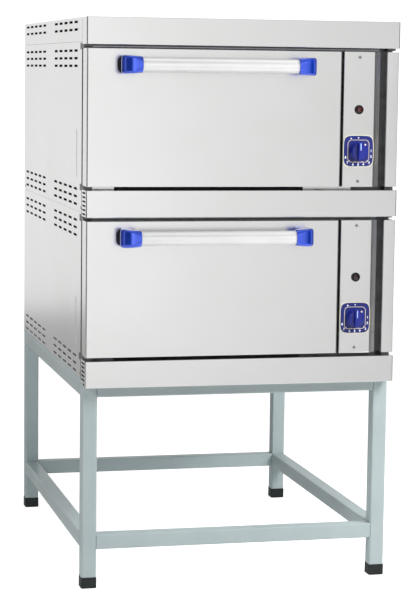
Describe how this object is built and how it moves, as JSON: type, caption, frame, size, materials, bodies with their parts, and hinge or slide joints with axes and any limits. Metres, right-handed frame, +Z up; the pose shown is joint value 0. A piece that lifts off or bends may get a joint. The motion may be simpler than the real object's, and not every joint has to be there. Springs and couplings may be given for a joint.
{
  "type": "two-deck electric roasting oven on a stand",
  "caption": "Tall stainless oven with stacked baking chambers, drop-down doors with tube handles, thermostat knobs and lamps at the right, on an open square-tube stand.",
  "frame": {"origin": "on the floor, under the middle of the closed oven's overall box", "axes": "+X to the right seen from the front, +Y from the front to the back, +Z up"},
  "size_m": [0.84, 1.168, 1.501],
  "materials": {
    "stainless": "satin stainless sheet, fine grain",
    "stand_enamel": "pale grey-green powder coat, semi-gloss",
    "foot_plastic": "moulded black polyethylene",
    "dark_steel": "blackened mild steel",
    "guide_steel": "plain folded stainless strip",
    "tray_steel": "blued black steel",
    "gasket_rubber": "matt black silicone",
    "dial_blue": "blue moulded plastic with a printed ring",
    "screw_steel": "bright zinc-plated steel",
    "black_plastic": "black moulded nylon",
    "terminal_plastic": "off-white moulded thermoset",
    "chamber_enamel": "dark heat-proof enamel",
    "mineral_wool": "loose felted mineral wool",
    "heater_steel": "heat-darkened stainless sheath",
    "knob_blue": "dark blue moulded plastic",
    "handle_aluminium": "satin anodised tube",
    "bracket_blue": "glossy blue moulded plastic"
  },
  "bodies": {
    "oven_body": {"leg_front_left": "stand_enamel", "leg_front_right": "stand_enamel", "leg_back_left": "stand_enamel", "leg_back_right": "stand_enamel", "cross_rails": "stand_enamel", "side_rails": "stand_enamel", "foot_caps": "foot_plastic", "bottom_band": "stainless", "middle_band": "stainless", "top_band": "stainless", "roof_panel": "stainless", "access_covers": "stainless", "corner_brackets": "dark_steel", "trim_posts": "stainless", "hinge_brackets": "dark_steel", "rack_guides": "guide_steel", "baking_trays": "tray_steel", "gaskets": "gasket_rubber", "dial_plates": "dial_blue", "panel_screws": "screw_steel", "cable_gland": "black_plastic", "terminal_block": "terminal_plastic", "lower_base_pan": "stand_enamel", "lower_side_panel_left": "stainless", "lower_side_panel_right": "stainless", "lower_back_panel": "stainless", "lower_front_frame": "dark_steel", "lower_chamber": "chamber_enamel", "lower_insulation": "mineral_wool", "lower_heaters": "heater_steel", "lower_control_panel": "stainless", "lower_thermostat": "terminal_plastic", "lower_pilot_lamp": "black_plastic", "upper_base_pan": "stainless", "upper_side_panel_left": "stainless", "upper_side_panel_right": "stainless", "upper_back_panel": "stainless", "upper_front_frame": "dark_steel", "upper_chamber": "chamber_enamel", "upper_insulation": "mineral_wool", "upper_heaters": "heater_steel", "upper_control_panel": "stainless", "upper_thermostat": "terminal_plastic", "upper_pilot_lamp": "black_plastic"},
    "lower_door": {"lower_door_skin": "stainless", "lower_door_liner": "stainless", "lower_door_insulation": "mineral_wool", "lower_handle_bar": "handle_aluminium", "lower_handle_brackets": "bracket_blue", "lower_door_hinges": "dark_steel"},
    "lower_knob": {"lower_knob": "knob_blue", "lower_knob_spindle": "screw_steel"},
    "upper_door": {"upper_door_skin": "stainless", "upper_door_liner": "stainless", "upper_door_insulation": "mineral_wool", "upper_handle_bar": "handle_aluminium", "upper_handle_brackets": "bracket_blue", "upper_door_hinges": "dark_steel"},
    "upper_knob": {"upper_knob": "knob_blue", "upper_knob_spindle": "screw_steel"}
  },
  "joints": [
    {"name": "lower_door_hinge", "type": "hinge", "parent": "oven_body", "child": "lower_door", "pos_m": [-0.079, -0.501, 0.6345], "axis": [1, 0, 0], "range_deg": [0, 90], "stiffness_Nm_per_rad": 5, "springref_deg": -40.11},
    {"name": "lower_knob_turn", "type": "hinge", "parent": "oven_body", "child": "lower_knob", "pos_m": [0.309, -0.518, 0.717], "axis": [0, 1, 0], "range_deg": [0, 260]},
    {"name": "upper_door_hinge", "type": "hinge", "parent": "oven_body", "child": "upper_door", "pos_m": [-0.079, -0.501, 1.0785], "axis": [1, 0, 0], "range_deg": [0, 90], "stiffness_Nm_per_rad": 5, "springref_deg": -40.11},
    {"name": "upper_knob_turn", "type": "hinge", "parent": "oven_body", "child": "upper_knob", "pos_m": [0.309, -0.518, 1.161], "axis": [0, 1, 0], "range_deg": [0, 260]}
  ]
}
